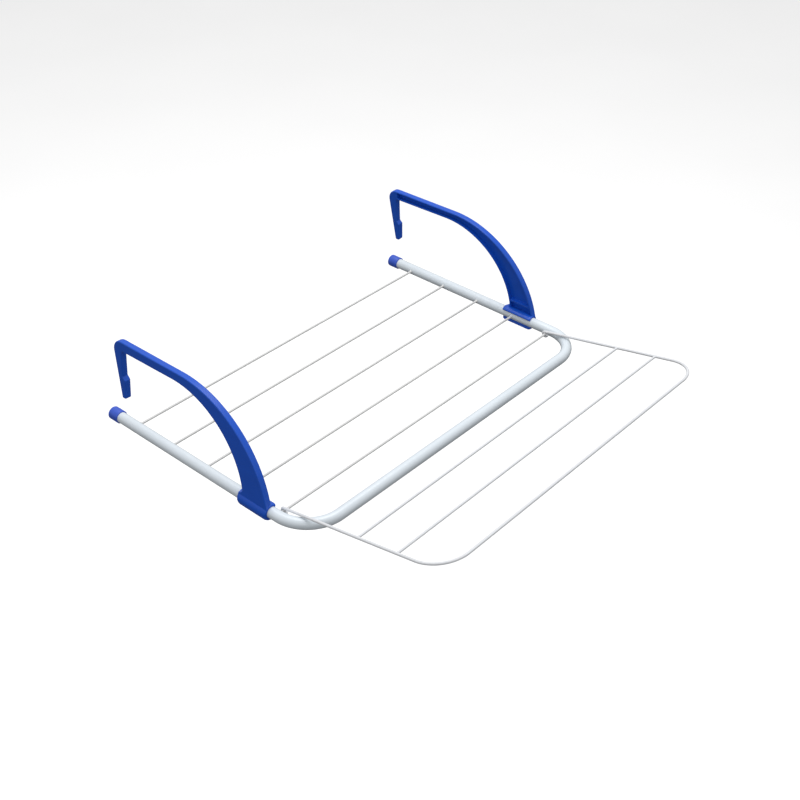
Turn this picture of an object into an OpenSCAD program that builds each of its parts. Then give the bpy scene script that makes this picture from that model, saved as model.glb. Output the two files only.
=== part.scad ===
// Hook-over drying rack: a bent tube frame with cross wires, two clip-on arms that hook
// over a rail, door or radiator, and a wire wing that folds out at the front.
//
// Origin: midway between the two legs, level with their axes, in the plane of their free
// ends. +Y points at the wall or rail, -Y into the room, +Z up. Millimetres and degrees.

/* [Main frame] */
// Width over the two legs
frame_w = 520; // [420:1:640]
// Depth from the free ends of the legs to the outside of the front bar
frame_d = 342; // [280:1:420]
// Outside diameter of the tube
tube_od = 14; // [11:0.2:17]
// Wall of the tube
tube_wall = 1; // [0.8:0.1:1.4]
// Centre-line radius of the two bends
bend_r = 48; // [38:1:60]

/* [Cross wires] */
// Diameter of the cross wires and of the pivot wire
wire_d = 3; // [2.4:0.1:4]
// Distance from the free ends of the legs to the first cross wire
first_wire = 43.5; // [34:0.5:60]
// Distance from the start of the bends back to the pivot wire
pivot_setback = 1.5; // [1:0.5:10]
// Radial clearance of a wire in its hole in the tube
hole_clear = 0.05; // [0.02:0.01:0.1]
// Length of wire inside the hollow of the tube
wire_tuck = 0.5; // [0.2:0.1:2]

/* [End caps] */
// Length of the caps on the free ends of the legs
cap_len = 16; // [10:0.5:24]
// Wall of the cap round the tube
cap_wall = 1.3; // [0.8:0.1:2.5]
// Thickness of the cap's closed end
cap_end = 2.5; // [1.5:0.1:4]
// Radius of the cap's outer edge
cap_edge = 1.2; // [0.4:0.1:1.2]

/* [Arms] */
// Height of the arm's crown above the axis of the leg
arm_h = 119.5; // [100:0.5:144]
// Reach from the front of the arm to the back corner of the claw
arm_reach = 258.5; // [230:0.5:310]
// Thickness of the arm
arm_t = 8.4; // [7:0.1:10]
// Distance from the axis of the leg out to the arm's outer face
arm_out = 8; // [7.6:0.1:8.8]
// Outer radius of the arch
arch_r = 138; // [125:1:155]
// Inner radius of the arch
arch_in_r = 110; // [98:1:122]
// Width of the arm at its foot
foot_w = 40; // [33:0.5:46]
// Depth of the arm at its crown
crown_d = 12; // [9:0.5:15]
// Fall of the top edge from the crown to the claw, in degrees
top_fall = 1; // [0:0.1:2]
// Fall of the lower edge from the crown to the claw, in degrees
soffit_fall = 1.6; // [0.5:0.1:3]
// Web thickness at the bottom of the arm's channel
arm_web = 2.6; // [1.8:0.1:3.5]
// Width of the rims round the channel
arm_rim = 2.2; // [1.5:0.1:3]
// Height of the cross rib above the leg's axis
rib_h = 19.5; // [16:0.5:30]
// Thickness of the cross rib and of the floor over the tube
rib_t = 2.4; // [1.5:0.1:3.5]
// Fillet where the arch runs out over the clip
heel_r = 7; // [4:0.5:8]

/* [Claw] */
// Depth of the claw under the arm's lower edge
claw_root = 15.5; // [12:0.5:20]
// Height of the claw's tip above the leg's axis
claw_tip_h = 39.5; // [30:0.5:48]
// Lean of the claw's back, in degrees
claw_lean = 8.2; // [5:0.1:9]
// Length of the thicker pad at the tip
pad_len = 26; // [18:0.5:32]
// How far the pad stands in front of the claw's neck
pad_step = 4.2; // [2:0.1:5]
// Thickness of the claw at its very tip
tip_t = 6.6; // [5:0.1:8]
// Radius of the back corner over the claw
claw_corner = 14; // [8:0.5:14]
// Fillet inside the hook
hook_fillet = 4; // [2:0.5:8]

/* [Clips] */
// Distance from the arch's foremost line back to the front of the clip
clip_front = 2; // [0:0.5:5]
// Length of the clip along the leg
clip_len = 46; // [40:0.5:56]
// Wall of the clip beside the tube
clip_wall = 3.6; // [2.4:0.1:4]
// Extra thickness of the clip under the tube
clip_belly = 0.8; // [0:0.1:1.6]
// Radius of the clip's lower corners, seen from the side
clip_corner = 7; // [3:0.5:9]
// Radial clearance between the clip and the tube
clip_clear = 0.05; // [0.02:0.01:0.1]
// How far the jaw runs round under the tube, in degrees from the outer side
jaw_angle = 125; // [105:1:135]
// How far the lip runs round over the tube, in degrees from the outer side
lip_angle = 142; // [110:1:150]
// Distance from the pivot wire to the front of the left arm, which slides along the leg
left_clip_at = 6.5; // [4:0.5:60]
// Distance from the pivot wire to the front of the right arm
right_clip_at = 28; // [4:0.5:60]
// How far the arms lean in over the rack, in degrees
arm_lean = 3.6; // [0:0.1:5]

/* [Wing] */
// Diameter of the wing's frame wire
wing_wire = 3.5; // [3:0.1:4.5]
// Distance from the pivot wire to the wing's front bar
wing_len = 233; // [190:1:290]
// Centre-line radius of the wing's front corners
wing_corner = 39; // [30:1:48]
// Distance from the front bar back to the wing's outer cross wire
wing_wire_back = 63; // [52:0.5:80]
// Distance between the wing's two cross wires
wing_pitch = 56; // [44:0.5:66]
// Gap between the wing's legs and the tube legs
wing_side_gap = 2.5; // [0.8:0.1:3]
// Radial clearance of the wing's eyes round the pivot wire
eye_clear = 0.1; // [0.05:0.01:0.1]
// How far each eye wraps round the pivot wire, in degrees
eye_wrap = 250; // [220:5:265]
// Gap left between the wing and the bends that it rests on
rest_gap = 1; // [0.4:0.1:1.5]

/* [Hidden] */
// How far a cutting shape runs past what it cuts
over = 1;
tube_r = tube_od / 2;
wire_r = wire_d / 2;
wing_r = wing_wire / 2;

leg_x = frame_w / 2 - tube_r;
front_y = -(frame_d - tube_r);
bend_y = front_y + bend_r;
bend_x = leg_x - bend_r;
pivot_y = bend_y + pivot_setback;
wire_count = 4;
wire_pitch = (-first_wire - pivot_y) / wire_count;
wire_half = leg_x - tube_r + tube_wall + wire_tuck;

// The clip's bore slides on the tube, and its outside carries on into the arm
clip_bore = tube_r + clip_clear;
clip_r = clip_bore + clip_wall;
clip_end = clip_front + clip_len;
floor_v = clip_bore + rib_t;
// Thickness of the fillet's thin end over the clip
heel_lip = 1;

// Arch centres, in the arm's own plane: a runs from the front of the arm to the wall,
// v runs up from the leg's axis
outer_c = [arch_r, arm_h - arch_r];
inner_c = [foot_w + arch_in_r, arm_h - crown_d - arch_in_r];
arm_in = arm_out - arm_t;

// Where the arch runs over into the straight top, at an inset from the arm's edges. The arc and
// the straight edge meet at a slight angle, and the straight runs on inside the arch for a bit.
arch_kink = 0.5;
arch_lap = 4;
function top_start(inset) = let(t = top_fall + arch_kink)
    outer_c + (arch_r - inset) * [sin(t), cos(t)];
function soffit_start(inset) = let(t = soffit_fall + arch_kink)
    inner_c + (arch_in_r + inset) * [sin(t), cos(t)];
function top_at(a, inset) = let(p = top_start(inset)) [a, p.y - (a - p.x) * tan(top_fall)];
function soffit_at(a, inset) = let(p = soffit_start(inset)) [a, p.y - (a - p.x) * tan(soffit_fall)];

// Claw outline, from the back corner down to the tip and up the front
pad_flare = 1.2;
tip_back_r = 2;
tip_front_r = 2.5;
pad_r = 1.5;
claw_back = top_at(arm_reach, 0);
tip_back = [arm_reach - (claw_back.y - claw_tip_h) * tan(claw_lean), claw_tip_h];
tip_front = tip_back - [tip_t, 0];
pad_front = tip_front + [-pad_flare, pad_len];
neck_front = pad_front + [pad_step, pad_step];
hook_a = arm_reach - claw_root;
hook_corner = soffit_at(hook_a, 0);

// The wing's legs lie beside the tube legs and over the bends
wing_x = leg_x - tube_r - wing_r - wing_side_gap;
eye_r = wire_r + eye_clear + wing_r;
function over_bend(d) = let(off = norm([wing_x - bend_x, d]) - bend_r)
    abs(off) < tube_r ? sqrt(tube_r * tube_r - off * off) : -tube_r;
wing_tilt = max([for (d = [0 : 0.5 : bend_r + tube_r])
    atan2(over_bend(d) + wing_r + rest_gap - eye_r, d + pivot_setback)]);
wing_wire_2_s = wing_len - wing_wire_back;
wing_wire_1_s = wing_wire_2_s - wing_pitch;

WHITE = "#eef2f6";
PALE = "#dfe3e8";
BLUE = "#1c46b4";
CAP_BLUE = "#3a4fd0";

$fn = 64;

// ---- helpers ----

// The sliver between the sharp corner at p, whose neighbours are q and s, and an arc of radius r.
// It runs a little past the corner's two edges, so that a cut leaves no film along them.
module corner_sliver(p, q, s, r) {
    u = (q - p) / norm(q - p);
    w = (s - p) / norm(s - p);
    half = acos(u * w) / 2;
    inward = (u + w) / norm(u + w);
    past = inward * over;
    on_q = p + u * r / tan(half);
    on_s = p + w * r / tan(half);
    c = p + inward * r / sin(half);
    difference() {
        polygon([p - past, on_q - past, on_q, c, on_s, on_s - past]);
        translate(c) circle(r, $fn = 96);
    }
}

// A straight round bar from p along the X axis to both sides
module bar_x(y, z, r, half) {
    translate([-half, y, z]) rotate([0, 90, 0]) cylinder(r = r, h = 2 * half);
}

// Stands an outline drawn in (a, v) up beside the leg's axis and gives it thickness
module in_arm_plane(from_x, thick) {
    translate([from_x, 0, 0]) rotate([90, 0, 90]) linear_extrude(thick) children();
}

// ---- main frame ----

module tube_path(r) {
    for (side = [-1, 1]) {
        translate([side * leg_x, -cap_end, 0]) rotate([90, 0, 0])
            cylinder(r = r, h = -cap_end - bend_y);
        translate([side * bend_x, bend_y, 0]) rotate([0, 0, side > 0 ? -90 : 180])
            rotate_extrude(angle = 90, $fn = 128) translate([bend_r, 0]) circle(r);
    }
    bar_x(front_y, 0, r, bend_x);
}

module frame_tube() {
    color(WHITE) difference() {
        tube_path(tube_r);
        tube_path(tube_r - tube_wall);
        // Open the free ends
        for (side = [-1, 1])
            translate([side * leg_x, over, 0]) rotate([90, 0, 0])
                cylinder(r = tube_r - tube_wall, h = cap_end + 2 * over);
        // Holes in the inner sides of the legs, where the wires go in
        for (i = [0 : wire_count], side = [-1, 1])
            translate([side * (leg_x - tube_r), wire_y(i), 0]) rotate([0, 90, 0])
                cylinder(r = wire_r + hole_clear, h = tube_r, center = true);
    }
}

module end_cap(side) {
    cap_r = tube_r + cap_wall;
    color(CAP_BLUE) translate([side * leg_x, 0, 0]) rotate([90, 0, 0]) rotate_extrude()
        difference() {
            square([cap_r, cap_len]);
            corner_sliver([cap_r, 0], [0, 0], [cap_r, cap_len], cap_edge);
            translate([-over, cap_end]) square([tube_r + over, cap_len]);
        }
}

function wire_y(i) = -first_wire - i * wire_pitch;

module cross_wire(i) {
    color(PALE) bar_x(wire_y(i), 0, wire_r, wire_half);
}

// ---- arms ----

// The arch and the straight top, inset from the arm's edges, from height v0 to reach a1
module span(inset, v0, a1) {
    p = top_start(inset);
    s = soffit_start(inset);
    left = p.x - arch_lap;
    difference() {
        union() {
            intersection() {
                translate(outer_c) circle(arch_r - inset, $fn = 256);
                translate([-over, v0]) square([p.x + 2 * over, 2 * arm_h]);
            }
            polygon([top_at(left, inset), top_at(a1, inset), soffit_at(a1, inset),
                soffit_at(s.x - arch_lap, inset), [left, (p.y + inner_c.y) / 2]]);
        }
        translate(inner_c) circle(arch_in_r + inset, $fn = 256);
    }
}

module claw() {
    difference() {
        polygon([top_at(hook_a, 0), claw_back, tip_back, tip_front, pad_front, neck_front,
            hook_corner]);
        corner_sliver(claw_back, top_at(hook_a, 0), tip_back, claw_corner);
        corner_sliver(tip_back, claw_back, tip_front, tip_back_r);
        corner_sliver(tip_front, tip_back, pad_front, tip_front_r);
        corner_sliver(pad_front, tip_front, neck_front, pad_r);
    }
    corner_sliver(hook_corner, soffit_start(0), neck_front, hook_fillet);
}

// Fillet from the inner side of the foot out to the end of the clip
module heel() {
    top = clip_bore + heel_lip + heel_r;
    difference() {
        translate([foot_w - heel_lip, 0]) square([heel_r + heel_lip, top]);
        translate([foot_w + heel_r, top]) circle(heel_r, $fn = 96);
    }
}

module arm_outline() {
    span(0, 0, hook_a);
    claw();
    heel();
}

// Two pockets from the inner side leave a web, rims, a cross rib and a floor over the tube
module channel() {
    span(arm_rim, rib_h + rib_t, hook_a - arm_rim);
    intersection() {
        span(arm_rim, floor_v, hook_a);
        translate([0, floor_v]) square([foot_w + arm_rim, rib_h - floor_v]);
    }
}

// Ring from the jaw, round the underside and the outer side, over the top to the lip
module clip_section() {
    reach = 3 * clip_r;
    difference() {
        translate([0, -clip_belly]) circle(clip_r, $fn = 96);
        polygon([[0, 0], reach * [cos(jaw_angle), -sin(jaw_angle)], [-reach, 0],
            reach * [cos(lip_angle), sin(lip_angle)]]);
    }
}

// The clip from the side, with its two lower corners rounded
module clip_side() {
    low = -clip_belly - clip_r;
    front = [clip_front, low];
    back = [clip_end, low];
    difference() {
        translate(front) square([clip_len, 3 * clip_r]);
        corner_sliver(front, [clip_front, 0], back, clip_corner);
        corner_sliver(back, front, [clip_end, 0], clip_corner);
    }
}

module clip() {
    intersection() {
        translate([0, clip_end, 0]) rotate([90, 0, 0]) linear_extrude(clip_len) clip_section();
        in_arm_plane(-2 * clip_r, 4 * clip_r) clip_side();
    }
}

// A right-hand arm, upright, with the leg's axis on the Y axis and the arch's foremost line at 0
module upright_arm() {
    difference() {
        union() {
            difference() {
                in_arm_plane(arm_in, arm_t) arm_outline();
                in_arm_plane(arm_in - over, arm_t - arm_web + over) channel();
            }
            clip();
        }
        translate([0, clip_end + over, 0]) rotate([90, 0, 0])
            cylinder(r = clip_bore, h = clip_end + 2 * over, $fn = 96);
    }
}

module arm(side, clip_at) {
    color(BLUE) translate([side * leg_x, pivot_y + clip_at, 0])
        mirror([side > 0 ? 0 : 1, 0, 0]) rotate([0, -arm_lean, 0]) upright_arm();
}

// ---- wing ----

// Places a shape drawn with the pivot wire's axis at the origin and the wing level
module on_pivot() {
    translate([0, pivot_y, 0]) rotate([-wing_tilt, 0, 0]) children();
}

module wing_rails(r) {
    for (side = [-1, 1]) {
        translate([side * wing_x, 0, eye_r]) rotate([90, 0, 0])
            cylinder(r = r, h = wing_len - wing_corner);
        translate([side * (wing_x - wing_corner), -(wing_len - wing_corner), eye_r])
            rotate([0, 0, side > 0 ? -90 : 180])
                rotate_extrude(angle = 90, $fn = 96) translate([wing_corner, 0]) circle(r);
    }
    bar_x(-wing_len, eye_r, r, wing_x - wing_corner);
}

module wing_eyes() {
    for (side = [-1, 1])
        translate([side * wing_x, 0, 0]) rotate([0, -90, 0])
            rotate_extrude(angle = eye_wrap, $fn = 96) translate([eye_r, 0]) circle(wing_r);
}

module wing_frame() {
    color(WHITE) on_pivot() {
        wing_rails(wing_r);
        wing_eyes();
    }
}

module wing_cross_wire(s) {
    color(PALE) on_pivot() difference() {
        bar_x(-s, eye_r, wire_r, wing_x);
        wing_rails(wing_r);
    }
}

// ---- nodes ----

frame_tube();
end_cap(-1);  // left_end_cap
end_cap(1);  // right_end_cap
cross_wire(0);  // cross_wire_1
cross_wire(1);  // cross_wire_2
cross_wire(2);  // cross_wire_3
cross_wire(3);  // cross_wire_4
cross_wire(4);  // pivot_wire
arm(-1, left_clip_at);  // left_arm
arm(1, right_clip_at);  // right_arm
wing_frame();
wing_cross_wire(wing_wire_1_s);  // wing_wire_1
wing_cross_wire(wing_wire_2_s);  // wing_wire_2
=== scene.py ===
# %% [markdown]
# # A hook-over drying rack
#
# The rack is a bent steel tube with five wires across it, two blue plastic arms that clip on the
# tube and hook over a radiator or a balcony rail, and a wire wing that folds out at the front.
# The design comes in first, as a fixed frame. Everything after that is built around it, in metres,
# in the same place, so no piece has to be fitted by eye.

# %% Load the frame
import math

import bmesh
import bpy
from mathutils import Matrix, Vector


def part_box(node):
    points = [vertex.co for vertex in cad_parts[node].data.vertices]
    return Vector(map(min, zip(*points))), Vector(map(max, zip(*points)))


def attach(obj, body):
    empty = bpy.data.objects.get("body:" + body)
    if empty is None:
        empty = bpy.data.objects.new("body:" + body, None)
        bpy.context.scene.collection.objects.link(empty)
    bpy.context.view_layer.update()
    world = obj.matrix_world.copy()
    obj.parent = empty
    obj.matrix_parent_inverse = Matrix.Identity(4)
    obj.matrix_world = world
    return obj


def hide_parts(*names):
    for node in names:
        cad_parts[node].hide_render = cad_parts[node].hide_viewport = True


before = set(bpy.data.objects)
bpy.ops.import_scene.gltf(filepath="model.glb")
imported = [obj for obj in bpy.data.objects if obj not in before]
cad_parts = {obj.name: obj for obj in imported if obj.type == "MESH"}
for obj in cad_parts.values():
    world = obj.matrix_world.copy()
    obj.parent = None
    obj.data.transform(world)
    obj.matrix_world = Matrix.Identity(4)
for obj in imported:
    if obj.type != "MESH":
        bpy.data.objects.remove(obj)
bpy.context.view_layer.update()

# %% [markdown]
# ## Sizes
#
# Places are read from the frame's own boxes. What a box can't say, such as a radius or a wall, is a
# named size here, in metres. One unit of work on a small household object is the millimetre, so
# `MM` keeps the numbers readable.

# %% Sizes and places
MM = 0.001

TUBE_R = 7 * MM
TUBE_WALL = 1 * MM
BEND_R = 48 * MM
WIRE_R = 1.5 * MM
WING_WIRE_R = 1.75 * MM

tube_low, tube_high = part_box("frame_tube")
LEG_X = tube_high.x - TUBE_R
FRONT_Y = tube_low.y + TUBE_R
LEG_END_Y = tube_high.y


def middle(node):
    """The centre of a CAD node's box."""
    low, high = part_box(node)
    return (low + high) / 2


PIVOT_Y = middle("pivot_wire").y
print("leg axis at x", round(LEG_X, 4), "front bar at y", round(FRONT_Y, 4), "pivot at y", round(PIVOT_Y, 4))

# %% [markdown]
# ## The camera
#
# A camera is placed by three directions: where its back points, what is right and what is up. The
# back comes from two angles, as on a globe: the azimuth round the rack and the elevation over the
# floor. It could be aimed with a constraint instead, but then nothing here would show how the
# numbers work. Depth of field stays off, so that every wire is sharp.

# %% Camera
VIEW_AZIMUTH = math.radians(-48.686)
VIEW_ELEVATION = math.radians(35.739)
VIEW_ROLL = math.radians(0.435)
CAMERA_AT = Vector((-0.9506, -1.0766, 0.9100))
# Blender takes these two in millimetres
SENSOR_W = 36
FOCAL_LENGTH = 56.77

camera_data = bpy.data.cameras.new("camera")
camera_data.sensor_width = SENSOR_W
camera_data.lens = FOCAL_LENGTH
camera = bpy.data.objects.new("camera", camera_data)
bpy.context.scene.collection.objects.link(camera)

back = Vector((
    math.sin(VIEW_AZIMUTH) * math.cos(VIEW_ELEVATION),
    -math.cos(VIEW_AZIMUTH) * math.cos(VIEW_ELEVATION),
    math.sin(VIEW_ELEVATION),
))
right = (-back).cross(Vector((0, 0, 1))).normalized()
up = back.cross(right)
tilted_right = math.cos(VIEW_ROLL) * right + math.sin(VIEW_ROLL) * up
tilted_up = math.cos(VIEW_ROLL) * up - math.sin(VIEW_ROLL) * right
axes = Matrix((tilted_right, tilted_up, back)).transposed()
camera.matrix_world = Matrix.Translation(CAMERA_AT) @ axes.to_4x4()
bpy.context.scene.camera = camera
print("camera looks along", tuple(round(c, 3) for c in -back))

# %% [markdown]
# ## Floor and light
#
# A pale floor lies well under the rack, because the rack hangs and doesn't stand. The light is a
# plain studio: a bright room all round, one broad softbox overhead that lifts the upper sides, and
# a weaker one beside the camera. Broad lamps give soft edges to the shadows, and small ones would
# draw hard lines under each wire.

# %% Floor, lamps and room
FLOOR_Z = -0.42
FLOOR_SIZE = 14
RACK_MIDDLE = (0, -0.2, 0)

bpy.ops.object.select_all(action="DESELECT")
bpy.ops.mesh.primitive_plane_add(size=FLOOR_SIZE, location=(0, 0, FLOOR_Z))
floor = bpy.context.object
floor.name = "floor"


def softbox(name, place, target, size, watts):
    """A square area lamp at a place, turned to a target."""
    lamp = bpy.data.lights.new(name, "AREA")
    lamp.shape = "SQUARE"
    lamp.size = size
    lamp.energy = watts
    holder = bpy.data.objects.new(name, lamp)
    holder.location = place
    holder.rotation_mode = "QUATERNION"
    holder.rotation_quaternion = (Vector(target) - Vector(place)).to_track_quat("-Z", "Y")
    bpy.context.scene.collection.objects.link(holder)


softbox("overhead_softbox", place=(0.25, 0.1, 1.7), target=RACK_MIDDLE, size=1.3, watts=19)
softbox("side_softbox", place=(-1.6, -1.5, 0.9), target=RACK_MIDDLE, size=1.2, watts=2)

# The room is bright above and grey below, and the rack sees that grey and not the floor's bounce
ROOM_ABOVE = 0.7
ROOM_BELOW = 0.12
# How far above and below the horizon the change from one to the other reaches
HORIZON_BLEND = 0.4
floor.visible_diffuse = False
floor.visible_glossy = False
room = bpy.data.worlds.new("bright_room")
room.use_nodes = True
room_nodes = room.node_tree.nodes
room_links = room.node_tree.links
direction = room_nodes.new("ShaderNodeTexCoord")
height = room_nodes.new("ShaderNodeSeparateXYZ")
dimmer = room_nodes.new("ShaderNodeMapRange")
dimmer.inputs["From Min"].default_value = -HORIZON_BLEND
dimmer.inputs["From Max"].default_value = HORIZON_BLEND
dimmer.inputs["To Min"].default_value = ROOM_BELOW
dimmer.inputs["To Max"].default_value = ROOM_ABOVE
room_links.new(direction.outputs["Generated"], height.inputs["Vector"])
room_links.new(height.outputs["Z"], dimmer.inputs["Value"])
room_links.new(dimmer.outputs["Result"], room_nodes["Background"].inputs["Strength"])
room_nodes["Background"].inputs["Color"].default_value = (1, 1, 1, 1)
bpy.context.scene.world = room
bpy.context.scene.view_settings.view_transform = "Standard"

# %% [markdown]
# ## Tools for modelling
#
# Everything below is modelled with the operators that a person uses by hand: add a primitive, go
# into edit mode, extrude, spin, inset, bevel. An operator acts on all that is selected, so each one
# needs the right selection first. `choose` makes that selection by a test on place or direction.
# `draw_from`, `line_to` and `arc` draw an outline like a pen: a line is one extruded vertex and an
# arc is a spun one.

# %% Selection and pen
# Vertices closer than MERGE are one, and a place that is off by less than NEAR still counts
MERGE = 0.001 * MM
NEAR = 0.01 * MM


def enter_edit():
    bpy.ops.object.mode_set(mode="EDIT")


def leave_edit():
    bpy.ops.object.mode_set(mode="OBJECT")


def choose(kind, test):
    """In edit mode, selects the vertices, edges or faces that pass the test, and counts them."""
    bpy.ops.mesh.select_mode(type=kind)
    bpy.ops.mesh.select_all(action="DESELECT")
    mesh = bmesh.from_edit_mesh(bpy.context.object.data)
    parts = {"VERT": mesh.verts, "EDGE": mesh.edges, "FACE": mesh.faces}[kind]
    chosen = [part for part in parts if test(part)]
    for part in chosen:
        part.select_set(True)
    mesh.select_flush_mode()
    bmesh.update_edit_mesh(bpy.context.object.data)
    return len(chosen)


def draw_from(name, start):
    """A new mesh of one vertex at start, selected, in edit mode."""
    bpy.ops.object.select_all(action="DESELECT")
    bpy.ops.mesh.primitive_plane_add(size=MM, location=start)
    bpy.context.object.name = name
    bpy.ops.object.transform_apply(location=True, rotation=True, scale=True)
    enter_edit()
    bpy.ops.mesh.select_mode(type="VERT")
    bpy.ops.mesh.select_all(action="SELECT")
    bpy.ops.mesh.merge(type="CENTER")
    return bpy.context.object


def pen_place():
    """Where the selected vertex is."""
    mesh = bmesh.from_edit_mesh(bpy.context.object.data)
    return next(v.co.copy() for v in mesh.verts if v.select)


def line_to(point):
    step = Vector(point) - pen_place()
    bpy.ops.mesh.extrude_vertices_move(TRANSFORM_OT_translate={"value": step})


def arc(centre, degrees, axis, steps):
    """Spins the selection about an axis, by the right-hand rule. The operator turns the other way."""
    bpy.ops.mesh.spin(steps=steps, angle=-math.radians(degrees), center=centre, axis=axis)


def pull(step):
    """Extrudes the selection along a step."""
    bpy.ops.mesh.extrude_region_move(TRANSFORM_OT_translate={"value": step})


def apply_modifier(piece, kind, **settings):
    """Adds a modifier with its settings and applies it at once."""
    bpy.context.view_layer.objects.active = piece
    made = piece.modifiers.new(kind.lower(), kind)
    for key, value in settings.items():
        setattr(made, key, value)
    bpy.ops.object.modifier_apply(modifier=made.name)


def make_outward():
    """In edit mode, merges doubled vertices and points every face outwards."""
    bpy.ops.mesh.select_all(action="SELECT")
    bpy.ops.mesh.remove_doubles(threshold=MERGE)
    bpy.ops.mesh.select_all(action="SELECT")
    bpy.ops.mesh.normals_make_consistent(inside=False)


def make_smooth(piece, degrees=35):
    """Smooth shading everywhere but on the edges sharper than this."""
    bpy.ops.object.select_all(action="DESELECT")
    piece.select_set(True)
    bpy.context.view_layer.objects.active = piece
    bpy.ops.object.shade_smooth_by_angle(angle=math.radians(degrees))


# %% [markdown]
# ## The bent tube
#
# The frame is one length of thin-walled steel tube, bent twice on a mandrel. A curve with a round
# bevel would make it in one go. Here it is made as the bender does it: one ring is pulled straight
# down the left leg, swung round the first bend, pulled across, swung again and pulled back. The
# ends stay open, and Solidify then gives the skin its real wall, inwards.

# %% Model the tube
TUBE_SIDES = 48
BEND_STEPS = 24
BEND_Y = FRONT_Y + BEND_R
BEND_X = LEG_X - BEND_R

bpy.ops.object.select_all(action="DESELECT")
bpy.ops.mesh.primitive_circle_add(
    vertices=TUBE_SIDES, radius=TUBE_R, location=(-LEG_X, LEG_END_Y, 0), rotation=(math.pi / 2, 0, 0)
)
tube = bpy.context.object
tube.name = "bent_tube"
bpy.ops.object.transform_apply(location=True, rotation=True, scale=True)
enter_edit()
bpy.ops.mesh.select_all(action="SELECT")
pull((0, BEND_Y - LEG_END_Y, 0))
arc((-BEND_X, BEND_Y, 0), 90, (0, 0, 1), BEND_STEPS)
pull((2 * BEND_X, 0, 0))
arc((BEND_X, BEND_Y, 0), 90, (0, 0, 1), BEND_STEPS)
pull((0, LEG_END_Y - BEND_Y, 0))
make_outward()
leave_edit()
apply_modifier(tube, "SOLIDIFY", thickness=TUBE_WALL, offset=-1, use_even_offset=True)
make_smooth(tube)
print("tube faces:", len(tube.data.polygons))

# %% [markdown]
# ## The cross wires
#
# Each wire is a cut length of 3 mm rod. Its ends go into holes in the legs, and a spot weld leaves
# a small collar there, which the white coat then rounds over. A plain cylinder would look stuck on,
# so each end is pulled out in short steps that swell and shrink again. One wire is modelled and the
# others are copies of it with a mesh of their own.

# %% Model one wire and copy it
WIRE_SIDES = 20
# Steps of a weld collar: how far each one reaches, and its share of the full swelling
COLLAR = [(0.5 * MM, 0.3), (0.45 * MM, 0.75), (0.45 * MM, 1), (0.4 * MM, 0.85)]
COLLAR_LENGTH = sum(step for step, _ in COLLAR)
# The share of its radius that a wire keeps where it goes into its hole
TUCKED = 0.98
# How far a collar reaches into the leg's round side, and how much of its radius it swells by
WELD_IN = 0.5 * MM
WELD_SWELL = 0.55


def welded_wire(name, radius, weld_x, tuck, swell):
    """A wire along X on the origin. Its collars end at weld_x, and tuck is what lies beyond."""
    bpy.ops.object.select_all(action="DESELECT")
    bpy.ops.mesh.primitive_cylinder_add(
        vertices=WIRE_SIDES, radius=radius, depth=2 * (weld_x - COLLAR_LENGTH),
        rotation=(0, math.pi / 2, 0),
    )
    wire = bpy.context.object
    wire.name = name
    bpy.ops.object.transform_apply(location=True, rotation=True, scale=True)
    enter_edit()
    for side in (-1, 1):
        choose("FACE", lambda face: face.normal.x * side > 0.9)
        at_x, width = weld_x - COLLAR_LENGTH, 1
        rings = [(step, 1 + swell * share) for step, share in COLLAR] + [(0, TUCKED), (tuck, TUCKED)]
        for step, wide in rings:
            pull((side * step, 0, 0))
            at_x += step
            grow = wide / width
            bpy.ops.transform.resize(value=(1, grow, grow), center_override=(side * at_x, 0, 0))
            width = wide
    make_outward()
    leave_edit()
    return wire


def copy_piece(piece, name):
    """A copy of a piece, with a mesh of its own."""
    copied = piece.copy()
    copied.data = piece.data.copy()
    copied.name = name
    bpy.context.scene.collection.objects.link(copied)
    return copied


def settle(piece, turn):
    """Puts a piece's place into its mesh, so that its object sits at the origin."""
    piece.data.transform(turn)
    piece.data.update()


wire_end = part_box("cross_wire_1")[1].x
weld_at = LEG_X - TUBE_R + WELD_IN
first_wire = welded_wire("wire_pattern", WIRE_R, weld_at, wire_end - weld_at, WELD_SWELL)
cross_wires = []
for node in ["cross_wire_1", "cross_wire_2", "cross_wire_3", "cross_wire_4", "pivot_wire"]:
    wire = copy_piece(first_wire, "white_" + node)
    settle(wire, Matrix.Translation((0, middle(node).y, 0)))
    make_smooth(wire, 60)
    cross_wires.append((wire, node))
bpy.data.objects.remove(first_wire)
print("wires at y", [round(middle(node).y, 4) for _, node in cross_wires])

# %% [markdown]
# ## The end caps
#
# A cap is a soft plastic cup pushed over the cut end of the tube. It starts as a cylinder. The face
# at its mouth is inset to the tube's size and pushed in, which leaves the wall and the closed end.
# The outer rim is rounded, and the end has the shallow dish and the tiny gate mark of a moulding.

# %% Model the caps
CAP_SIDES = 48
CAP_END = 2.5 * MM
DISH_RIM = 2.2 * MM
DISH_DEPTH = 0.5 * MM
GATE_R = 0.9 * MM
GATE_H = 0.3 * MM
# The rounding of the closed end, of the dish's edge and of the mouth
END_EDGE = 1.2 * MM
DISH_EDGE = 0.3 * MM
MOUTH_EDGE = 0.4 * MM


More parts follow.
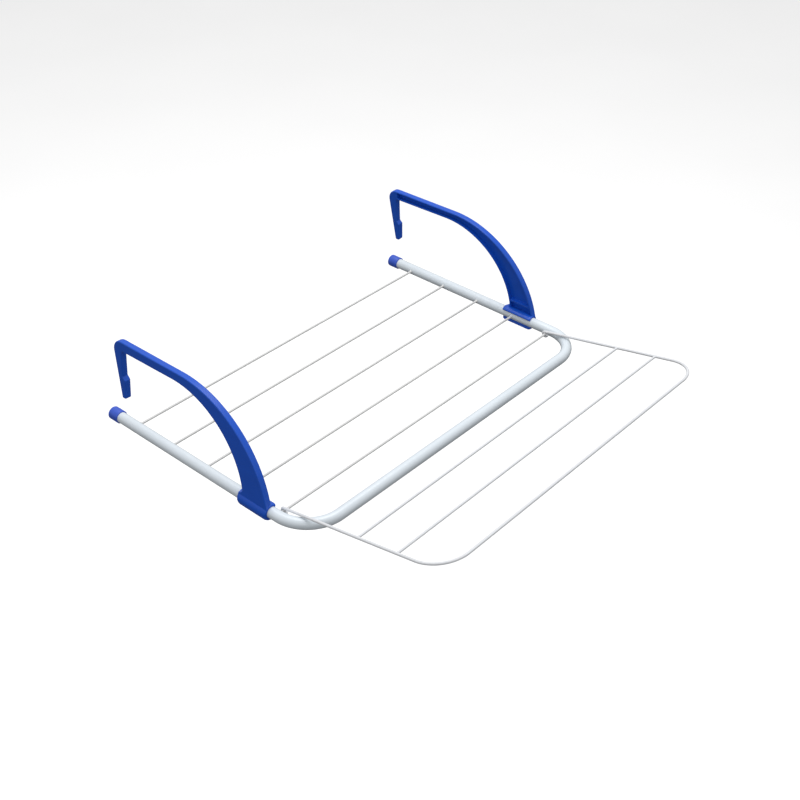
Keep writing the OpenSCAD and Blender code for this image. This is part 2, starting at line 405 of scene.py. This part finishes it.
def end_cap(node, name):
    low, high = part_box(node)
    centre_x = (low.x + high.x) / 2
    radius = (high.x - low.x) / 2
    bpy.ops.object.select_all(action="DESELECT")
    bpy.ops.mesh.primitive_cylinder_add(
        vertices=CAP_SIDES, radius=radius, depth=high.y - low.y,
        location=(centre_x, (low.y + high.y) / 2, 0), rotation=(math.pi / 2, 0, 0),
    )
    cap = bpy.context.object
    cap.name = name
    bpy.ops.object.transform_apply(location=True, rotation=True, scale=True)
    enter_edit()
    choose("FACE", lambda face: face.normal.y < -0.9)
    bpy.ops.mesh.inset(thickness=radius - TUBE_R)
    pull((0, high.y - CAP_END - low.y, 0))
    choose("FACE", lambda face: face.normal.y > 0.9 and face.calc_center_median().y > high.y - CAP_END / 2)
    bpy.ops.mesh.inset(thickness=DISH_RIM)
    pull((0, -DISH_DEPTH, 0))
    bpy.ops.mesh.inset(thickness=radius - DISH_RIM - GATE_R)
    pull((0, GATE_H, 0))

    def bevel_ring(y, ring_r, size, steps):
        """Rounds the ring of edges at this place along the cap and this distance from its axis."""
        def on_ring(vertex):
            from_axis = math.hypot(vertex.co.x - centre_x, vertex.co.z)
            return abs(vertex.co.y - y) < NEAR and abs(from_axis - ring_r) < 2 * NEAR
        choose("EDGE", lambda edge: all(on_ring(vertex) for vertex in edge.verts))
        bpy.ops.mesh.bevel(offset=size, segments=steps, affect="EDGES")

    bevel_ring(high.y, radius, END_EDGE, 5)
    bevel_ring(high.y, radius - DISH_RIM, DISH_EDGE, 3)
    bevel_ring(low.y, radius, MOUTH_EDGE, 3)
    make_outward()
    leave_edit()
    make_smooth(cap)
    return cap


left_cap = end_cap("left_end_cap", "blue_left_cap")
right_cap = end_cap("right_end_cap", "blue_right_cap")
print("cap faces:", len(left_cap.data.polygons))

# %% [markdown]
# ## The arm's plate
#
# Each arm is one polypropylene moulding: an arched plate that ends in a claw, with a channel in its
# inner side to save plastic, and a clip at its foot. The plate's outline is drawn with the pen, as
# a profile is drawn before it is cut. It is arcs and lines that run smoothly into each other, so
# the arcs are spun about their real centres. A round corner takes its place from the two lines that
# meet there.

# %% Arm sizes
ARM_T = 8.4 * MM
ARM_IN = -0.4 * MM
ARM_H = 119.5 * MM
ARM_REACH = 258.5 * MM
ARCH_R = 138 * MM
ARCH_IN_R = 110 * MM
FOOT_W = 40 * MM
CROWN_D = 12 * MM
TOP_FALL = 1.0
SOFFIT_FALL = 1.6
ARCH_STEPS = 40
CORNER_STEPS = 8

CLAW_ROOT = 15.5 * MM
CLAW_TIP_H = 39.5 * MM
CLAW_LEAN = math.radians(8.2)
PAD_LEN = 26 * MM
PAD_STEP = 4.2 * MM
PAD_FLARE = 1.2 * MM
TIP_T = 6.6 * MM
HOOK_A = ARM_REACH - CLAW_ROOT
# The rounding of each corner, in the order in which the pen comes to them
CLAW_BACK_R = 14 * MM
TIP_BACK_R = 2 * MM
TIP_FRONT_R = 2.5 * MM
PAD_R = 1.5 * MM
NECK_R = 2 * MM
HOOK_R = 4 * MM

HEEL_R = 6.5 * MM
HEEL_TOP = 8.05 * MM


def on_plate(a, v):
    """A point of the plate's inner face: a runs from the room to the wall, and v runs up."""
    return Vector((ARM_IN, a, v))


OUTER_CENTRE = on_plate(ARCH_R, ARM_H - ARCH_R)
INNER_CENTRE = on_plate(FOOT_W + ARCH_IN_R, ARM_H - CROWN_D - ARCH_IN_R)


def past_crown(centre, radius, fall):
    """The point of an arch where its slope has come to the fall of the straight part."""
    angle = math.radians(fall)
    return centre + radius * Vector((0, math.sin(angle), math.cos(angle)))


def straight_at(a, start, fall):
    """The point at reach a of a straight edge that falls away from start."""
    return on_plate(a, start.z - (a - start.y) * math.tan(math.radians(fall)))


def rise_angle(centre, radius, height):
    """How far an arch's point at this height has risen from level with the centre, in degrees."""
    return math.degrees(math.asin((height - centre.z) / radius))


def draw_outside(name, inset, low):
    """Draws up the outer arch from height low, over the crown to where the straight starts."""
    radius = ARCH_R - inset
    rise = rise_angle(OUTER_CENTRE, radius, low)
    side = Vector((0, -math.cos(math.radians(rise)), math.sin(math.radians(rise))))
    piece = draw_from(name, OUTER_CENTRE + radius * side)
    arc(OUTER_CENTRE, 90 + TOP_FALL - rise, (-1, 0, 0), ARCH_STEPS)
    return piece


def draw_inside(inset, low):
    """Draws from the end of the lower straight down the inner arch to height low."""
    radius = ARCH_IN_R + inset
    line_to(past_crown(INNER_CENTRE, radius, SOFFIT_FALL))
    arc(INNER_CENTRE, 90 + SOFFIT_FALL - rise_angle(INNER_CENTRE, radius, low), (1, 0, 0), ARCH_STEPS)


def round_corner(corner, after, radius):
    """Draws to a corner and round it, ready to go on towards the point after."""
    back_way = (pen_place() - corner).normalized()
    on_way = (after - corner).normalized()
    half = back_way.angle(on_way) / 2
    centre = corner + (back_way + on_way).normalized() * radius / math.sin(half)
    line_to(corner + back_way * radius / math.tan(half))
    arc(centre, 180 - 2 * math.degrees(half), (-back_way).cross(on_way), CORNER_STEPS)


def close_outline():
    """Joins the outline's last point to its first and fills it with one face."""
    bpy.ops.mesh.select_all(action="SELECT")
    bpy.ops.mesh.remove_doubles(threshold=MERGE)
    bpy.ops.mesh.select_all(action="SELECT")
    bpy.ops.mesh.edge_face_add()


print("arch centres (y, z):", [tuple(round(c, 4) for c in p.yz) for p in (OUTER_CENTRE, INNER_CENTRE)])

# %% [markdown]
# The claw's corners follow each other round: over the back, down to the tip, and up the pad that
# bears on the rail. The last arc is the heel, a fillet that must touch both the inner arch and the
# clip's top line. Its centre lies its own radius inside the arch's circle and its own radius above
# the line, which one right-angled triangle gives.

# %% Draw the plate and give it thickness
plate = draw_outside("arm_plate", 0, 0)
start = pen_place()
foot_front = OUTER_CENTRE.y - math.sqrt(ARCH_R ** 2 - OUTER_CENTRE.z ** 2)

claw_back = straight_at(ARM_REACH, start, TOP_FALL)
tip_back = on_plate(ARM_REACH - (claw_back.z - CLAW_TIP_H) * math.tan(CLAW_LEAN), CLAW_TIP_H)
tip_front = tip_back - Vector((0, TIP_T, 0))
pad_front = tip_front + Vector((0, -PAD_FLARE, PAD_LEN))
neck_front = pad_front + Vector((0, PAD_STEP, PAD_STEP))
soffit_start = past_crown(INNER_CENTRE, ARCH_IN_R, SOFFIT_FALL)
hook_corner = straight_at(HOOK_A, soffit_start, SOFFIT_FALL)

round_corner(claw_back, tip_back, CLAW_BACK_R)
round_corner(tip_back, tip_front, TIP_BACK_R)
round_corner(tip_front, pad_front, TIP_FRONT_R)
round_corner(pad_front, neck_front, PAD_R)
round_corner(neck_front, hook_corner, NECK_R)
round_corner(hook_corner, soffit_start, HOOK_R)

heel_rise = HEEL_TOP + HEEL_R - INNER_CENTRE.z
heel_reach = math.sqrt((ARCH_IN_R - HEEL_R) ** 2 - heel_rise ** 2)
heel_centre = on_plate(INNER_CENTRE.y - heel_reach, HEEL_TOP + HEEL_R)
heel_turn = math.degrees(math.atan2(heel_rise, heel_reach))
draw_inside(0, INNER_CENTRE.z + ARCH_IN_R * heel_rise / (ARCH_IN_R - HEEL_R))
arc(heel_centre, 90 + heel_turn, (1, 0, 0), CORNER_STEPS)
line_to(on_plate(heel_centre.y, 0))
line_to(on_plate(foot_front, 0))
close_outline()
pull((ARM_T, 0, 0))
make_outward()
leave_edit()
print("plate faces:", len(plate.data.polygons))
print("foot from", round(foot_front, 5), "to", round(heel_centre.y, 4))

# %% [markdown]
# ## The channel
#
# The channel could be inset and pushed in on the plate's own face. The heel makes that face too
# narrow near the clip for an even inset, so the hollow is modelled as a solid of its own and cut
# out with a Boolean. It is drawn from the same arches with a rim's width less, then bisected where
# the cross rib stays, and the strip between the two cuts is deleted. Bevels come after the cut, so
# that the rims and the rib are rounded as the mould's edges are.

# %% Cut the channel and round the edges
OUTLINE_EDGE = 1.4 * MM
RIM = 2.2 * MM
WEB = 2.6 * MM
CUT_OVER = 1 * MM
CHANNEL_FLOOR = 9.45 * MM
RIB_LOW = 19.5 * MM
RIB_HIGH = 21.9 * MM
CHANNEL_EDGE = 0.5 * MM


def cut_with(piece, tool, way):
    """Applies an exact Boolean with a tool solid, and removes the tool."""
    apply_modifier(piece, "BOOLEAN", object=tool, operation=way, solver="EXACT")
    bpy.data.objects.remove(tool)


def round_edges(piece, width, steps, sharper_than):
    """Rounds every edge that is sharper than an angle in degrees."""
    apply_modifier(
        piece, "BEVEL", width=width, segments=steps, limit_method="ANGLE",
        angle_limit=math.radians(sharper_than), use_clamp_overlap=False,
    )


round_edges(plate, OUTLINE_EDGE, 4, 50)
hollow = draw_outside("channel_hollow", RIM, CHANNEL_FLOOR)
line_to(straight_at(HOOK_A - RIM, pen_place(), TOP_FALL))
line_to(straight_at(HOOK_A - RIM, past_crown(INNER_CENTRE, ARCH_IN_R + RIM, SOFFIT_FALL), SOFFIT_FALL))
draw_inside(RIM, CHANNEL_FLOOR)
close_outline()
for height in (RIB_LOW, RIB_HIGH):
    bpy.ops.mesh.select_all(action="SELECT")
    bpy.ops.mesh.bisect(plane_co=(0, 0, height), plane_no=(0, 0, 1))
choose("FACE", lambda face: RIB_LOW < face.calc_center_median().z < RIB_HIGH)
bpy.ops.mesh.delete(type="FACE")
bpy.ops.mesh.select_all(action="SELECT")
bpy.ops.transform.translate(value=(-CUT_OVER, 0, 0))
pull((ARM_T - WEB + CUT_OVER, 0, 0))
make_outward()
leave_edit()

cut_with(plate, hollow, "DIFFERENCE")
round_edges(plate, CHANNEL_EDGE, 2, 30)
print("plate faces with channel and bevels:", len(plate.data.polygons))

# %% [markdown]
# ## The clip
#
# The clip is a sleeve with a C-shaped section. Its jaw reaches under the tube and its lip over it,
# so that it snaps on. The belly is thicker, and both ends close in on the tube like the end of a
# sausage. The section is drawn round the tube and pulled along it. At the ends only its outside
# shrinks, ring by ring, so the dome is geometry and not just shading.

# %% Model the sleeve
CLIP_FRONT = 2 * MM
CLIP_LEN = 46 * MM
CLIP_BORE = 7.05 * MM
CLIP_R = 10.65 * MM
BELLY = 0.8 * MM
JAW_ANGLE = 125
LIP_ANGLE = 142
# The lead-in bevels of the jaw and the lip: where the sleeve's outside starts and ends
JAW_OUTSIDE = 122
LIP_OUTSIDE = 133
DOME = 4.5 * MM
DOME_STEPS = 7
END_WALL = 1.7 * MM
SECTION_STEPS = 48
SLEEVE_EDGE = 0.5 * MM


def round_leg(degrees, radius, drop):
    """A point round the leg's axis, counted up from the outer side, on a circle that hangs lower."""
    angle = math.radians(degrees)
    return Vector((radius * math.cos(angle), CLIP_FRONT + DOME, radius * math.sin(angle) - drop))


def dome_end(y, way):
    """Pulls the selected end face out along Y, and closes its outside in on the tube."""
    radius, drop = CLIP_R, BELLY
    for step in range(1, DOME_STEPS + 1):
        before, after = (math.radians(90 * s / DOME_STEPS) for s in (step - 1, step))
        pull((0, way * DOME * (math.sin(after) - math.sin(before)), 0))
        y += way * DOME * (math.sin(after) - math.sin(before))
        new_radius = CLIP_BORE + END_WALL + (CLIP_R - CLIP_BORE - END_WALL) * math.cos(after)
        new_drop = BELLY * math.cos(after)

        def outside(vertex):
            from_centre = math.hypot(vertex.co.x, vertex.co.z + drop)
            return abs(vertex.co.y - y) < NEAR and abs(from_centre - radius) < 2 * NEAR

        choose("VERT", outside)
        grow = new_radius / radius
        bpy.ops.transform.resize(value=(grow, 1, grow), center_override=(0, y, -drop))
        bpy.ops.transform.translate(value=(0, 0, drop - new_drop))
        radius, drop = new_radius, new_drop
        choose("FACE", lambda face: all(abs(v.co.y - y) < NEAR for v in face.verts))


sleeve = draw_from("clip_sleeve", round_leg(-JAW_ANGLE, CLIP_BORE, 0))
section_y = CLIP_FRONT + DOME
arc((0, section_y, 0), JAW_ANGLE + LIP_ANGLE, (0, -1, 0), SECTION_STEPS)
line_to(round_leg(LIP_OUTSIDE, CLIP_R, BELLY))
arc((0, section_y, -BELLY), JAW_OUTSIDE + LIP_OUTSIDE, (0, 1, 0), SECTION_STEPS)
line_to(round_leg(-JAW_ANGLE, CLIP_BORE, 0))
close_outline()
back_y = CLIP_FRONT + CLIP_LEN - DOME
pull((0, back_y - section_y, 0))
dome_end(back_y, 1)
choose("FACE", lambda face: all(abs(v.co.y - section_y) < NEAR for v in face.verts))
dome_end(section_y, -1)
make_outward()
leave_edit()
round_edges(sleeve, SLEEVE_EDGE, 3, 45)
print("sleeve faces:", len(sleeve.data.polygons))

# %% [markdown]
# ## Joining and placing the arms
#
# The plate must not fill the tube's place, and its foot should end inside the sleeve's wall and not
# at its surface: two skins in one place make a Boolean fail. So the plate is first bored out half
# way into that wall and then joined to the sleeve. The right arm is placed with its lean. The left
# one is its mirror image, which turns a mesh inside out, so its normals are recalculated. The last
# modifier weights the normals by face area, which keeps big flat faces flat beside their bevels.

# %% Join, lean and mirror
LEAN = math.radians(3.6)
SEAT_R = 7.75 * MM
SEAT_SIDES = 64

bpy.ops.object.select_all(action="DESELECT")
bpy.ops.mesh.primitive_cylinder_add(
    vertices=SEAT_SIDES, radius=SEAT_R, depth=2 * ARM_REACH, rotation=(math.pi / 2, 0, 0)
)
tube_seat = bpy.context.object
bpy.ops.object.transform_apply(location=True, rotation=True, scale=True)
cut_with(plate, tube_seat, "DIFFERENCE")
cut_with(plate, sleeve, "UNION")
plate.name = "blue_right_arm"


def place_arm(arm, side, node):
    """Leans an arm in over the rack, mirrors it for the left leg and puts it at its node's place."""
    leg = Vector((side * LEG_X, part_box(node)[0].y - foot_front, 0))
    mirror = Matrix.Diagonal((side, 1, 1, 1))
    settle(arm, Matrix.Translation(leg) @ mirror @ Matrix.Rotation(-LEAN, 4, "Y"))
    bpy.ops.object.select_all(action="DESELECT")
    arm.select_set(True)
    bpy.context.view_layer.objects.active = arm
    enter_edit()
    make_outward()
    leave_edit()
    make_smooth(arm)
    apply_modifier(arm, "WEIGHTED_NORMAL", keep_sharp=True)
    return arm


left_arm = place_arm(copy_piece(plate, "blue_left_arm"), -1, "left_arm")
right_arm = place_arm(plate, 1, "right_arm")
print("arm faces:", len(right_arm.data.polygons))

# %% [markdown]
# ## The wing
#
# The wing is a thinner wire bent like the tube, with an eye rolled at each end that turns on the
# fifth wire. It is one ring again, pulled and spun along the wire's whole length. It is modelled
# level, with the hinge on the origin, because every centre is then a plain number, and is tilted to
# its resting place at the end. How far it tilts comes from where the frame says its front bar is.

# %% Model the wing's frame and wires
WING_CORNER = 39 * MM
EYE_R = 3.35 * MM
EYE_WRAP = 250
EYE_STEPS = 30
WING_SIDES = 24
WING_WELD_IN = 0.3 * MM
WING_TUCK = 0.9 * MM
WING_SWELL = 0.14

wing_low, wing_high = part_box("wing_frame")
WING_X = wing_high.x - WING_WIRE_R
hinge = Vector((0, PIVOT_Y, 0))
front_bar = Vector((0, wing_low.y + WING_WIRE_R, wing_high.z - WING_WIRE_R)) - hinge
WING_LEN = math.sqrt(front_bar.length ** 2 - EYE_R ** 2)
WING_TILT = math.atan2(front_bar.z, -front_bar.y) - math.atan2(EYE_R, WING_LEN)
resting = Matrix.Translation(hinge) @ Matrix.Rotation(-WING_TILT, 4, "X")

bpy.ops.object.select_all(action="DESELECT")
bpy.ops.mesh.primitive_circle_add(
    vertices=WING_SIDES, radius=WING_WIRE_R, location=(-WING_X, 0, EYE_R), rotation=(math.pi / 2, 0, 0)
)
wing_wire = bpy.context.object
wing_wire.name = "white_wing_frame"
bpy.ops.object.transform_apply(location=True, rotation=True, scale=True)
enter_edit()
bpy.ops.mesh.select_all(action="SELECT")
arc((-WING_X, 0, 0), EYE_WRAP, (-1, 0, 0), EYE_STEPS)
choose("EDGE", lambda edge: edge.is_boundary and all(abs(v.co.y) < NEAR for v in edge.verts))
corner_y = WING_CORNER - WING_LEN
corner_x = WING_X - WING_CORNER
pull((0, corner_y, 0))
arc((-corner_x, corner_y, EYE_R), 90, (0, 0, 1), BEND_STEPS)
pull((2 * corner_x, 0, 0))
arc((corner_x, corner_y, EYE_R), 90, (0, 0, 1), BEND_STEPS)
pull((0, -corner_y, 0))
arc((WING_X, 0, 0), EYE_WRAP, (-1, 0, 0), EYE_STEPS)
bpy.ops.mesh.select_all(action="SELECT")
bpy.ops.mesh.fill_holes(sides=0)
make_outward()
leave_edit()
settle(wing_wire, resting)
make_smooth(wing_wire)

wing_wires = []
for node in ("wing_wire_1", "wing_wire_2"):
    from_hinge = middle(node) - hinge
    along = math.sqrt(from_hinge.length ** 2 - EYE_R ** 2)
    weld_x = WING_X - WING_WIRE_R + WING_WELD_IN
    wire = welded_wire("white_" + node, WIRE_R, weld_x, WING_TUCK, WING_SWELL)
    settle(wire, resting @ Matrix.Translation((0, -along, EYE_R)))
    make_smooth(wire, 60)
    wing_wires.append(wire)
print("wing length", round(WING_LEN, 4), "tilt", round(math.degrees(WING_TILT), 2))

# %% [markdown]
# ## Finishes
#
# A finish is a shader with a few patterns over it. Colours are written in hex, as a paint chart
# gives them, and turned into the linear values that light adds up in. Every pattern reads Object
# coordinates, which are metres here, so a pattern's scale is one over its real size.

# %% Helpers for finishes
def linear(hex_colour):
    """A hex sRGB colour as linear values."""
    shares = [int(hex_colour[i:i + 2], 16) / 255 for i in (1, 3, 5)]
    return [s / 12.92 if s <= 0.04045 else ((s + 0.055) / 1.055) ** 2.4 for s in shares] + [1]


def add_node(tree, kind, inputs=None, **settings):
    """Adds a node with its settings. An input is a value, or another node's output to link."""
    node = tree.nodes.new(kind)
    for name, value in settings.items():
        setattr(node, name, value)
    for name, value in (inputs or {}).items():
        if isinstance(value, bpy.types.NodeSocket):
            tree.links.new(value, node.inputs[name])
        else:
            node.inputs[name].default_value = value
    return node


def per_size(millimetres):
    """The scale at which a texture's features have this size."""
    return 1 / (millimetres * MM)


def new_finish(name):
    """An empty material: its node tree, its place coordinates and its output node."""
    material = bpy.data.materials.new(name)
    material.use_nodes = True
    tree = material.node_tree
    tree.nodes.clear()
    place = add_node(tree, "ShaderNodeTexCoord").outputs["Object"]
    return material, tree, place, add_node(tree, "ShaderNodeOutputMaterial")


# %% [markdown]
# The tube is steel with an epoxy powder coat, baked on. Powder flows out into a skin with a slight
# orange peel, whose waves are about 2 mm apart, and it is glossy where the melt lay level. The white
# has a touch of blue. The bump is kept to a few hundredths of a millimetre: more would look like
# hammered paint.

# %% Powder-coated steel tube
def powder_coated_steel():
    material, tree, place, output = new_finish("powder_coated_steel")
    clouds = add_node(tree, "ShaderNodeTexNoise", {"Vector": place, "Scale": per_size(45), "Detail": 2})
    colour = add_node(
        tree, "ShaderNodeMix",
        {"Factor": clouds.outputs["Fac"], 6: linear("#d6dfe6"), 7: linear("#dfe7ee")}, data_type="RGBA",
    )
    flow = add_node(tree, "ShaderNodeTexNoise", {"Vector": place, "Scale": per_size(9), "Detail": 3})
    gloss = add_node(
        tree, "ShaderNodeMapRange", {"Value": flow.outputs["Fac"], "To Min": 0.24, "To Max": 0.36}
    )
    peel = add_node(tree, "ShaderNodeTexNoise", {"Vector": place, "Scale": per_size(2), "Detail": 1})
    bump = add_node(
        tree, "ShaderNodeBump", {"Height": peel.outputs["Fac"], "Strength": 0.35, "Distance": 0.05 * MM}
    )
    shader = add_node(tree, "ShaderNodeBsdfPrincipled", {
        "Base Color": colour.outputs[2], "Roughness": gloss.outputs["Result"],
        "Normal": bump.outputs["Normal"], "IOR": 1.5, "Coat Weight": 0.25, "Coat Roughness": 0.12,
    })
    tree.links.new(shader.outputs["BSDF"], output.inputs["Surface"])
    return material


# %% [markdown]
# The cross wires are dipped in nylon and not sprayed. The melt runs along the wire before it sets,
# so its tone and gloss change in long streaks, 40 mm along the wire and 2 mm round it. A Mapping
# node shrinks the coordinates along X, which stretches the pattern that way. The wing is coated in
# the same bath, but its legs run along Y, so there the streaks are left round.

# %% Nylon-dipped wire
def nylon_dipped_wire(name, light, dark, streak):
    material, tree, place, output = new_finish(name)
    stretched = add_node(tree, "ShaderNodeMapping", {"Vector": place, "Scale": (1 / streak, 1, 1)})
    streaks = add_node(
        tree, "ShaderNodeTexNoise", {"Vector": stretched.outputs[0], "Scale": per_size(2), "Detail": 3}
    )
    colour = add_node(
        tree, "ShaderNodeMix",
        {"Factor": streaks.outputs["Fac"], 6: linear(dark), 7: linear(light)}, data_type="RGBA",
    )
    gloss = add_node(
        tree, "ShaderNodeMapRange", {"Value": streaks.outputs["Fac"], "To Min": 0.48, "To Max": 0.32}
    )
    ripple = add_node(
        tree, "ShaderNodeTexNoise", {"Vector": stretched.outputs[0], "Scale": per_size(5), "Detail": 1}
    )
    bump = add_node(
        tree, "ShaderNodeBump",
        {"Height": ripple.outputs["Fac"], "Strength": 0.4, "Distance": 0.08 * MM},
    )
    shader = add_node(tree, "ShaderNodeBsdfPrincipled", {
        "Base Color": colour.outputs[2], "Roughness": gloss.outputs["Result"],
        "Normal": bump.outputs["Normal"], "IOR": 1.53,
    })
    tree.links.new(shader.outputs["BSDF"], output.inputs["Surface"])
    return material


# %% [markdown]
# The arms are injection-moulded polypropylene, coloured through. The mould's face is spark-eroded,
# which leaves a fine grain of about 0.3 mm; it is drawn at 0.7 mm, because finer would not show. As
# the melt cools along its way it leaves broad flow marks, a little lighter and a little shinier.

# %% Moulded polypropylene
def moulded_polypropylene():
    material, tree, place, output = new_finish("moulded_blue_polypropylene")
    along = add_node(tree, "ShaderNodeMapping", {"Vector": place, "Scale": (1, 0.35, 1)})
    marks = add_node(
        tree, "ShaderNodeTexNoise",
        {"Vector": along.outputs[0], "Scale": per_size(16), "Detail": 4, "Distortion": 0.8},
    )
    colour = add_node(
        tree, "ShaderNodeMix",
        {"Factor": marks.outputs["Fac"], 6: linear("#0e4cb8"), 7: linear("#1356cc")}, data_type="RGBA",
    )
    gloss = add_node(
        tree, "ShaderNodeMapRange", {"Value": marks.outputs["Fac"], "To Min": 0.4, "To Max": 0.28}
    )
    grain = add_node(tree, "ShaderNodeTexNoise", {"Vector": place, "Scale": per_size(0.7), "Detail": 2})
    bump = add_node(
        tree, "ShaderNodeBump", {"Height": grain.outputs["Fac"], "Strength": 0.3, "Distance": 0.04 * MM}
    )
    shader = add_node(tree, "ShaderNodeBsdfPrincipled", {
        "Base Color": colour.outputs[2], "Roughness": gloss.outputs["Result"],
        "Normal": bump.outputs["Normal"], "IOR": 1.49, "Specular IOR Level": 0.4,
    })
    tree.links.new(shader.outputs["BSDF"], output.inputs["Surface"])
    return material


# %% [markdown]
# The caps are low-density polyethylene, which is softer and duller than polypropylene and a little
# more violet in this blue. Handling polishes it in patches, so its gloss is uneven.

# %% Soft polyethylene
def soft_polyethylene():
    material, tree, place, output = new_finish("soft_blue_polyethylene")
    patches = add_node(tree, "ShaderNodeTexNoise", {"Vector": place, "Scale": per_size(6), "Detail": 3})
    colour = add_node(
        tree, "ShaderNodeMix",
        {"Factor": patches.outputs["Fac"], 6: linear("#2c50bd"), 7: linear("#375ccd")}, data_type="RGBA",
    )
    gloss = add_node(
        tree, "ShaderNodeMapRange", {"Value": patches.outputs["Fac"], "To Min": 0.36, "To Max": 0.52}
    )
    skin = add_node(tree, "ShaderNodeTexNoise", {"Vector": place, "Scale": per_size(0.9), "Detail": 2})
    bump = add_node(
        tree, "ShaderNodeBump", {"Height": skin.outputs["Fac"], "Strength": 0.3, "Distance": 0.04 * MM}
    )
    shader = add_node(tree, "ShaderNodeBsdfPrincipled", {
        "Base Color": colour.outputs[2], "Roughness": gloss.outputs["Result"],
        "Normal": bump.outputs["Normal"], "IOR": 1.51,
    })
    tree.links.new(shader.outputs["BSDF"], output.inputs["Surface"])
    return material


# %% [markdown]
# The floor is matt paper-white board, so that it takes soft shadows and no reflections. It glows a
# little, like a backlit table, which lifts it to white and lights nothing else.

# %% Studio board
def studio_board():
    material, tree, place, output = new_finish("studio_board")
    tone = add_node(tree, "ShaderNodeTexNoise", {"Vector": place, "Scale": per_size(300), "Detail": 1})
    colour = add_node(
        tree, "ShaderNodeMix",
        {"Factor": tone.outputs["Fac"], 6: linear("#f6f6f6"), 7: linear("#fafafa")}, data_type="RGBA",
    )
    shader = add_node(
        tree, "ShaderNodeBsdfPrincipled", {
            "Base Color": colour.outputs[2], "Roughness": 0.95,
            "Emission Color": (1, 1, 1, 1), "Emission Strength": 0.16,
        },
    )
    tree.links.new(shader.outputs["BSDF"], output.inputs["Surface"])
    return material


# %% [markdown]
# ## Putting it together
#
# Each piece now gets its finish and the body that it moves with, and the node of the design that it
# stands for is hidden. The list is the rack's parts list.

# %% Finish, ride and replace
tube_finish = powder_coated_steel()
wire_finish = nylon_dipped_wire("nylon_dipped_wire", "#e2e2e1", "#d3d3d3", 20)
wing_finish = nylon_dipped_wire("nylon_dipped_wing", "#e6e8eb", "#d8dade", 1)
arm_finish = moulded_polypropylene()
cap_finish = soft_polyethylene()
floor.data.materials.append(studio_board())

parts = [
    (tube, "frame", "frame_tube", "tube_white", tube_finish),
    (left_cap, "frame", "left_end_cap", "cap_blue", cap_finish),
    (right_cap, "frame", "right_end_cap", "cap_blue", cap_finish),
    *[(wire, "frame", node, "wire_white", wire_finish) for wire, node in cross_wires],
    (left_arm, "left_arm", "left_arm", "arm_blue", arm_finish),
    (right_arm, "right_arm", "right_arm", "arm_blue", arm_finish),
    (wing_wire, "wing", "wing_frame", "wing_white", wing_finish),
    (wing_wires[0], "wing", "wing_wire_1", "wire_white", wing_finish),
    (wing_wires[1], "wing", "wing_wire_2", "wire_white", wing_finish),
]
for piece, body, node, slot, finish in parts:
    piece.data.materials.clear()
    piece.data.materials.append(finish)
    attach(piece, body)
    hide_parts(node)
    print(piece.name, "rides on", body, "with", len(piece.data.polygons), "faces")
